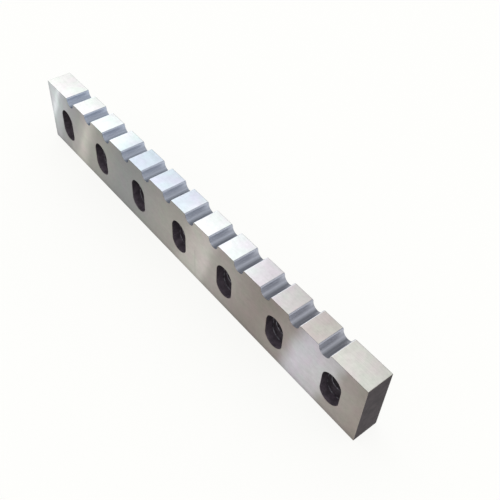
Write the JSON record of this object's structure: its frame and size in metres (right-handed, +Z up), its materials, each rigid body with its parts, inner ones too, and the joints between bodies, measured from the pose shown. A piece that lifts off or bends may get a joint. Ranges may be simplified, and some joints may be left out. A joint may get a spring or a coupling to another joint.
{
  "type": "shear blade",
  "caption": "Ground steel shear blade for bar stock: half-round grooves across the cutting edge, oblong bolt pockets with round bores in both wide faces.",
  "frame": {"origin": "centre of the base edge, under the middle of the bar", "axes": "+X along the bar, +Y through its thickness to the back face, +Z up to the grooved edge"},
  "size_m": [0.6, 0.033, 0.09],
  "materials": {
    "ground_steel": "surface ground, lightly oiled"
  },
  "bodies": {
    "root": {"shear_blade": "ground_steel"}
  },
  "joints": []
}
